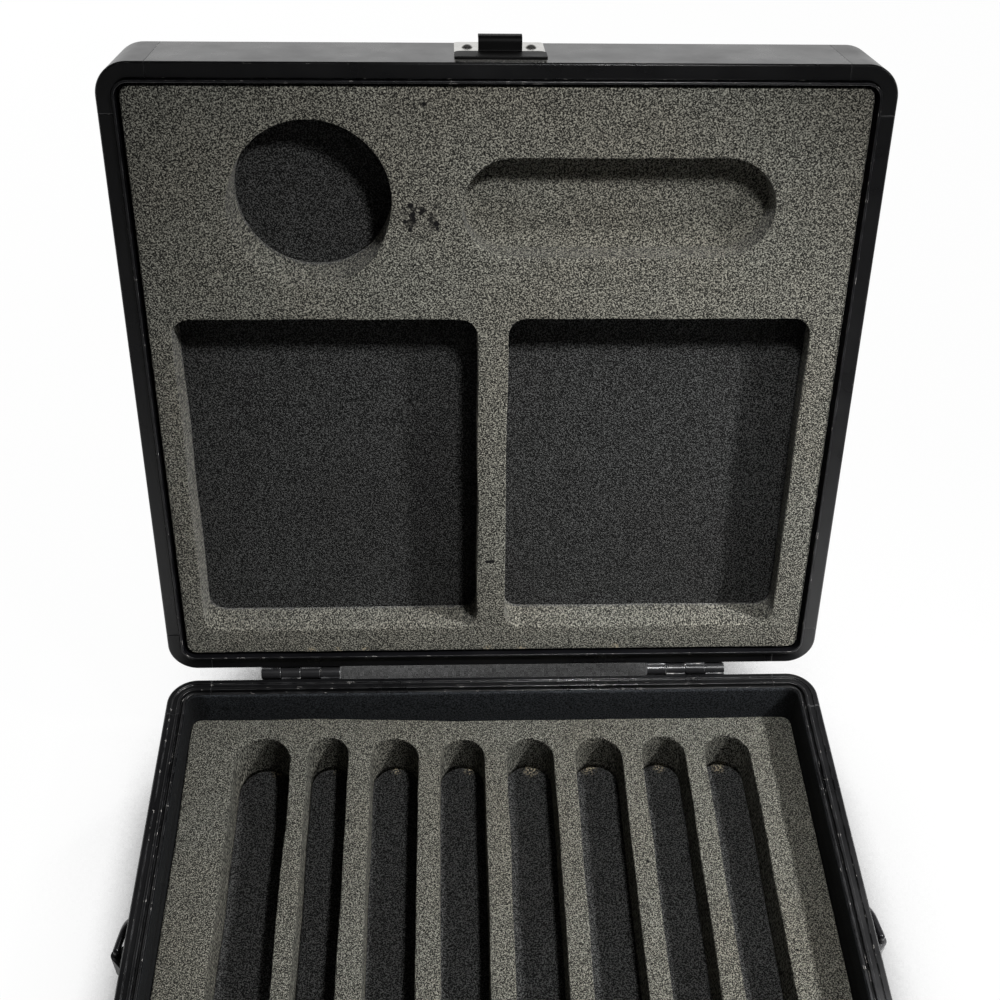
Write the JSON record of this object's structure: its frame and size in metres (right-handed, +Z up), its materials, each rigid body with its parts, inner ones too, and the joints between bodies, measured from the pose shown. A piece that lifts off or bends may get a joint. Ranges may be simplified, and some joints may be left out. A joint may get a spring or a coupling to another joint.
{
  "type": "travel humidor case",
  "caption": "Flat travel humidor: metal-edged case with a hinged lid, slotted foam in the base, shaped foam pockets in the lid, a draw latch and strap rings.",
  "frame": {"origin": "centre of the case's underside, on the surface it stands on", "axes": "+Z up, +Y from the latch wall towards the hinges, +X to the right seen from the latch side; the lid is drawn open"},
  "size_m": [0.3462, 0.4443, 0.3599],
  "materials": {
    "rail_metal": "satin black anodised",
    "corner_metal": "satin black powder coat",
    "board_wood": "sawn plywood",
    "panel_sheet": "fine pebble",
    "lining_cloth": "fine weave",
    "tongue_metal": "satin black anodised",
    "foam_grey": "bonded grey foam",
    "foam_dark": "charcoal foam",
    "hinge_metal": "satin black",
    "pin_steel": "plain",
    "rivet_metal": "domed, plain",
    "nickel_metal": "nickel plate",
    "black_metal": "gloss black",
    "bracket_metal": "satin black, worn",
    "ring_metal": "gloss black"
  },
  "bodies": {
    "base": {"base_rail_front": "rail_metal", "base_rail_right": "rail_metal", "base_rail_back": "rail_metal", "base_rail_left": "rail_metal", "base_corner_front_right": "corner_metal", "base_corner_back_right": "corner_metal", "base_corner_back_left": "corner_metal", "base_corner_front_left": "corner_metal", "base_board_front": "board_wood", "base_board_right": "board_wood", "base_board_back": "board_wood", "base_board_left": "board_wood", "base_panel": "panel_sheet", "base_lining": "lining_cloth", "base_foam_insert": "foam_grey", "base_foam_floor": "foam_dark", "hinge_left_base_leaf": "hinge_metal", "hinge_right_base_leaf": "hinge_metal", "hinge_left_pin": "pin_steel", "hinge_right_pin": "pin_steel", "hinge_base_rivets": "rivet_metal", "latch_plate": "nickel_metal", "latch_rivets": "nickel_metal", "latch_pin": "pin_steel", "strap_bracket_left": "bracket_metal", "strap_bracket_right": "bracket_metal", "strap_rivets": "rivet_metal"},
    "lid": {"lid_rail_front": "rail_metal", "lid_rail_right": "rail_metal", "lid_rail_back": "rail_metal", "lid_rail_left": "rail_metal", "lid_corner_front_right": "corner_metal", "lid_corner_back_right": "corner_metal", "lid_corner_back_left": "corner_metal", "lid_corner_front_left": "corner_metal", "lid_board_front": "board_wood", "lid_board_right": "board_wood", "lid_board_back": "board_wood", "lid_board_left": "board_wood", "lid_panel": "panel_sheet", "lid_lining": "lining_cloth", "lid_tongue_frame": "tongue_metal", "lid_foam_insert": "foam_grey", "lid_foam_backing": "foam_dark", "hinge_left_lid_leaf": "hinge_metal", "hinge_right_lid_leaf": "hinge_metal", "hinge_lid_rivets": "rivet_metal", "keeper_plate": "nickel_metal", "keeper_hook": "black_metal", "keeper_rivets": "nickel_metal"},
    "latch_lever": {"latch_lever": "black_metal"},
    "latch_bail": {"latch_bail": "nickel_metal"},
    "strap_ring_left": {"strap_ring_left": "ring_metal"},
    "strap_ring_right": {"strap_ring_right": "ring_metal"}
  },
  "joints": [
    {"name": "lid_hinge", "type": "hinge", "parent": "base", "child": "lid", "pos_m": [0, 0.1544, 0.06015], "axis": [-1, 0, 0], "range_deg": [-104.5, 0]},
    {"name": "latch_lever_pivot", "type": "hinge", "parent": "base", "child": "latch_lever", "pos_m": [0, -0.1582, 0.05], "axis": [-1, 0, 0], "range_deg": [-150, 0]},
    {"name": "latch_bail_pivot", "type": "hinge", "parent": "latch_lever", "child": "latch_bail", "pos_m": [0, -0.16303, 0.05356], "axis": [-1, 0, 0], "range_deg": [0, 171.12]},
    {"name": "strap_ring_left_pivot", "type": "hinge", "parent": "base", "child": "strap_ring_left", "pos_m": [-0.17, 0.008, 0.04], "axis": [0, 0, 1], "range_deg": [0, 160.8]},
    {"name": "strap_ring_right_pivot", "type": "hinge", "parent": "base", "child": "strap_ring_right", "pos_m": [0.17, 0.008, 0.04], "axis": [0, 0, -1], "range_deg": [0, 160.8]}
  ],
  "couplings": [
    {"joint": "latch_bail_pivot", "follows": "latch_lever_pivot", "ratio": -1.1407}
  ]
}
